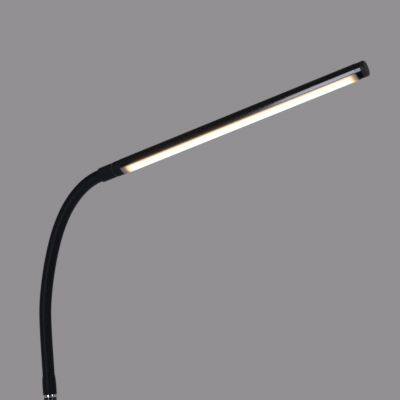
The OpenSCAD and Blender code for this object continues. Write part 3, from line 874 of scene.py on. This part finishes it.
class LAMP_OT_light_strip(bpy.types.Operator):
    """Make the lit opal strip that completes the bar's round"""
    bl_idname = "lamp.light_strip"
    bl_label = "Light strip"

    def execute(self, context):
        outer = context.scene.lamp_sizes.tube_radius
        inner = outer - STRIP_WALL
        half = HALF_LIGHT - STRIP_GAP
        marks = evenly(0.0, 1.0, STRIP_STEPS)
        angles = evenly(-half, half, STRIP_STEPS)
        eases = [STRIP_EASE] + [0.0] * (STRIP_STEPS - 1) + [STRIP_EASE]
        outline = ([polar(outer - ease, angle) for ease, angle in zip(eases, angles)]
                   + [polar(inner, angle) for angle in reversed(angles)])
        across = marks + marks[::-1]
        piece = lofted("opal_strip", bar_stations(), outline, strip_finish(), across,
                       sharp=SHARP_STRIP_EDGE)
        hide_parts("diffuser")
        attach(piece, "head")
        return {"FINISHED"}


class LAMP_OT_bar_caps(bpy.types.Operator):
    """Make the two caps that close the light bar"""
    bl_idname = "lamp.bar_caps"
    bl_label = "Bar caps"

    def execute(self, context):
        size = context.scene.lamp_sizes
        cap = size.cap_radius
        inside = size.tube_radius - size.tube_wall - CAP_FREE
        low, floor = CAP_START + GROOVE_EASE, CAP_START + CAP_FLOOR
        near = eased([
            (CAP_BORE, low, 0), (cap, low, CAP_EDGE), (cap, TUBE_START, CAP_TUBE_EDGE),
            (inside, TUBE_START, 0), (inside, floor, 0), (CAP_BORE, floor, 0)])
        piece = turned("near_end_cap", near, HEAD, finish_of("satin_collar"))
        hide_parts("near_cap")
        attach(piece, "head")
        far = eased([
            (0, CAP_BAND_END, 0), (cap, CAP_BAND_END, CAP_EDGE),
            (cap, HEAD_END, CAP_END_EDGE), (0, HEAD_END, 0)])
        end = turned("far_end_cap", far, HEAD, finish_of("matte_end"))
        trims = [(TUBE_END, BAND_EASE), (TUBE_END + BAND_EASE, 0), (CAP_BAND_END - BAND_EASE, 0),
                 (CAP_BAND_END, BAND_EASE)]
        stations = [along_head(at) @ Matrix.Diagonal((1 - trim / cap, 1 - trim / cap, 1, 1))
                    for at, trim in trims]
        upper = arc_band(inside, cap, HALF_LIGHT, 2 * math.pi - HALF_LIGHT)
        band = lofted("far_cap_band", stations, upper, finish_of("gloss_cap"))
        # Painted shade: the dull insert is a dark piece put on the far cap's underside, where it
        # stands in shade
        lower = arc_band(inside, cap - INSERT_SET_BACK, -HALF_LIGHT, HALF_LIGHT)
        insert = lofted("far_cap_insert", stations, lower, finish_of("dull_insert"))
        for piece in (end, band, insert):
            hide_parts("far_cap")
            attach(piece, "head")
        return {"FINISHED"}


LINKS = range(1, len(LINK_BENDS) + 1)

# The frame's own pieces that keep their shape, by finish
NODE_FINISHES = {
    "gloss_lacquer": ["base_cover", "pole_lower", "pole_upper"],
    "turned_steel": ["foot_nipple", "foot_nut", "foot_washer", "foot_plug", "pole_coupler",
                     "top_plug", "neck_fitting", "swivel_spindle", "spring_washer", "swivel_nut"]
                    + [f"core_{k}" for k in LINKS],
    "cast_primer": ["base_weight"],
    "pad_foam": ["base_pad"],
    "grained_moulding": ["driver_box", "switch_body", "switch_button"],
    "inlet_bush": ["cable_gland"],
    "lead_sheath": ["pole_lead", "head_lead"] + [f"lead_{k}" for k in LINKS],
    "board_mask": ["led_board"],
    "diode_phosphor": ["led_chips"],
}


class LAMP_OT_frame_finishes(bpy.types.Operator):
    """Give each piece of the frame that keeps its shape its own finish"""
    bl_idname = "lamp.frame_finishes"
    bl_label = "Frame finishes"

    def execute(self, context):
        for finish_name, names in NODE_FINISHES.items():
            finish = finish_of(finish_name)
            for name in names:
                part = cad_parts[name]
                for slot in part.material_slots:
                    slot.material = finish
                if not part.material_slots:
                    part.data.materials.append(finish)
        return {"FINISHED"}


# Studio

# The camera: its place, its angles, its lens and sensor in millimetres, and its clipping
CAMERA_PLACE = Vector((0.9576, -1.4634, 1.0911))
CAMERA_AZIMUTH = math.radians(26.534)
CAMERA_PITCH = math.radians(5.470)
CAMERA_ROLL = math.radians(-4.53)
CAMERA_LENS = 126.0
CAMERA_SENSOR = 36.0
CAMERA_CLIP = (0.05, 50.0)

# The floor's own radius, where it starts to fade into the backdrop, and its steps
FLOOR_RADIUS = 3.0
FLOOR_FADE = 1.1
FLOOR_SEGMENTS = 96

# The backdrop in reflections: the way to it from the lamp, where it ends at its sides, and where it
# darkens upwards
BACKDROP_HEADING = (-0.447, 0.894, 0.0)
BACKDROP_SIDES = (-0.55, -0.25)
BACKDROP_TOP = (0.65, 0.15)

# The tall softbox left of the camera, which makes the cool streak on the bar
KEY_SPOT, KEY_AIM = (-0.030, -1.45, 1.265), (-0.030, 0.0, 1.265)
KEY_SIZE = (0.31, 1.326)
KEY_COLOUR = (0.79, 0.81, 1.0)
KEY_LEAN = math.radians(11.3)

# The narrow softbox on the right, which makes the second highlight on the ring and the pole
SIDE_SPOT, SIDE_AIM = (1.42, -0.54, 1.17), (0.0, 0.0, 1.17)
SIDE_SIZE = (0.14, 0.50)


def softbox(name, spot, aim, size, power, colour=(1, 1, 1), lean=0.0):
    """Rectangular light that faces a point and may lean to one side, hidden from the camera."""
    data = bpy.data.lights.new(name, "AREA")
    data.shape = "RECTANGLE"
    data.size, data.size_y = size
    data.energy = power
    data.color = colour
    light = bpy.data.objects.new(name, data)
    facing = (Vector(aim) - Vector(spot)).to_track_quat("-Z", "Y").to_matrix().to_4x4()
    light.matrix_world = Matrix.Translation(spot) @ facing @ Matrix.Rotation(lean, 4, "Z")
    light.visible_camera = False
    bpy.context.scene.collection.objects.link(light)


class LAMP_OT_studio(bpy.types.Operator):
    """Set the pale floor, the plain backdrop, the soft lights and the camera"""
    bl_idname = "lamp.studio"
    bl_label = "Studio"

    def execute(self, context):
        scene, studio = context.scene, context.scene.lamp_studio
        self.floor(scene, studio)
        self.backdrop(scene, studio)
        softbox("tall_softbox", KEY_SPOT, KEY_AIM, KEY_SIZE, studio.key_power, KEY_COLOUR, KEY_LEAN)
        softbox("side_softbox", SIDE_SPOT, SIDE_AIM, SIDE_SIZE, studio.side_power)
        self.camera(scene)
        scene.view_settings.view_transform = "Standard"
        return {"FINISHED"}

    def floor(self, scene, studio):
        """Pale round floor under the lamp that fades into the backdrop."""
        finish = grained("pale_floor", studio.floor, rough=0.75, swing=0.05, lift=1.03, scale=60.0,
                         patch=2.0, bump=0.02, depth=0.5 * MM)
        tree = finish.node_tree
        away = node(tree, "ShaderNodeVectorMath", operation="LENGTH")
        feed(tree, away.inputs[0], node(tree, "ShaderNodeTexCoord").outputs["Object"])
        fade = spread(tree, away.outputs["Value"], FLOOR_FADE, FLOOR_RADIUS, first=1.0, last=0.0,
                      smooth=True)
        feed(tree, tree.nodes["Principled BSDF"].inputs["Alpha"], fade)
        bm = bmesh.new()
        bmesh.ops.create_circle(bm, cap_ends=True, segments=FLOOR_SEGMENTS, radius=FLOOR_RADIUS)
        mesh = bpy.data.meshes.new("floor")
        bm.to_mesh(mesh)
        bm.free()
        mesh.materials.append(finish)
        plane = bpy.data.objects.new("floor", mesh)
        scene.collection.objects.link(plane)

    def backdrop(self, scene, studio):
        """Plain tone to the camera, with a dark side in reflections, and an even fill."""
        world = bpy.data.worlds.new("studio")
        world.use_nodes = True
        scene.world = world
        tree = world.node_tree
        tree.nodes.clear()
        heading = node(tree, "ShaderNodeTexCoord").outputs["Generated"]
        facing = node(tree, "ShaderNodeVectorMath", operation="DOT_PRODUCT")
        feed(tree, facing.inputs[0], heading)
        feed(tree, facing.inputs[1], BACKDROP_HEADING)
        behind = spread(tree, facing.outputs["Value"], *BACKDROP_SIDES, smooth=True)
        rise = node(tree, "ShaderNodeSeparateXYZ", Vector=heading).outputs["Z"]
        pale = combined(tree, "MULTIPLY", behind, spread(tree, rise, *BACKDROP_TOP, smooth=True))
        path = node(tree, "ShaderNodeLightPath").outputs
        plain = combined(tree, "MAXIMUM", path["Is Camera Ray"], path["Is Transmission Ray"])
        shown = combined(tree, "MAXIMUM", plain, path["Is Glossy Ray"])
        pale = combined(tree, "MAXIMUM", plain, pale)
        tone = mixed(tree, pale, opaque([studio.dark] * 3), opaque(studio.backdrop))
        view = node(tree, "ShaderNodeBackground", Color=tone, Strength=1.0)
        fill = node(tree, "ShaderNodeBackground", Color=opaque(FULL), Strength=studio.fill)
        choose = node(tree, "ShaderNodeMixShader")
        for socket, given in zip(choose.inputs, (shown, fill.outputs[0], view.outputs[0])):
            feed(tree, socket, given)
        node(tree, "ShaderNodeOutputWorld", Surface=choose.outputs[0])

    def camera(self, scene):
        """Camera at the photograph's angle."""
        data = bpy.data.cameras.new("camera")
        data.lens = CAMERA_LENS
        data.sensor_width = CAMERA_SENSOR
        data.clip_start, data.clip_end = CAMERA_CLIP
        az, pitch, roll = CAMERA_AZIMUTH, CAMERA_PITCH, CAMERA_ROLL
        forward = Vector((
            -math.sin(az) * math.cos(pitch), math.cos(az) * math.cos(pitch), math.sin(pitch)))
        level = Vector((math.cos(az), math.sin(az), 0))
        over = level.cross(forward)
        right = level * math.cos(roll) + over * math.sin(roll)
        up = over * math.cos(roll) - level * math.sin(roll)
        turn = Matrix((right, up, -forward)).transposed().to_4x4()
        camera = bpy.data.objects.new("camera", data)
        camera.matrix_world = Matrix.Translation(CAMERA_PLACE) @ turn
        scene.collection.objects.link(camera)
        scene.camera = camera


PIECES = (
    LAMP_OT_neck_sleeve, LAMP_OT_neck_boot, LAMP_OT_bright_rings, LAMP_OT_switch_spring,
    LAMP_OT_collar, LAMP_OT_light_bar, LAMP_OT_light_strip, LAMP_OT_bar_caps,
    LAMP_OT_frame_finishes, LAMP_OT_studio,
)


class LAMP_PT_panel(bpy.types.Panel):
    """Steps and settings of the lamp"""
    bl_idname = "LAMP_PT_panel"
    bl_label = "Reading floor lamp"
    bl_space_type = "VIEW_3D"
    bl_region_type = "UI"
    bl_category = "Lamp"

    def draw(self, context):
        layout, scene = self.layout, context.scene
        for piece in PIECES:
            layout.operator(piece.bl_idname)
        for group in (scene.lamp_sizes, scene.lamp_finish, scene.lamp_studio):
            box = layout.box()
            for name in group.__annotations__:
                box.prop(group, name)


GROUPS = (LampSizes, LampFinish, LampStudio)


def register():
    """Add the settings, the steps and the panel."""
    for made in GROUPS + PIECES + (LAMP_PT_panel,):
        bpy.utils.register_class(made)
    bpy.types.Scene.lamp_sizes = PointerProperty(type=LampSizes)
    bpy.types.Scene.lamp_finish = PointerProperty(type=LampFinish)
    bpy.types.Scene.lamp_studio = PointerProperty(type=LampStudio)


def unregister():
    """Take the settings, the steps and the panel away again."""
    del bpy.types.Scene.lamp_sizes, bpy.types.Scene.lamp_finish, bpy.types.Scene.lamp_studio
    for made in reversed(GROUPS + PIECES + (LAMP_PT_panel,)):
        bpy.utils.unregister_class(made)


def main():
    """Run every step in order."""
    register()
    for piece in PIECES:
        family, step = piece.bl_idname.split(".")
        getattr(getattr(bpy.ops, family), step)()
    bpy.context.view_layer.update()


if __name__ == "__main__":
    main()
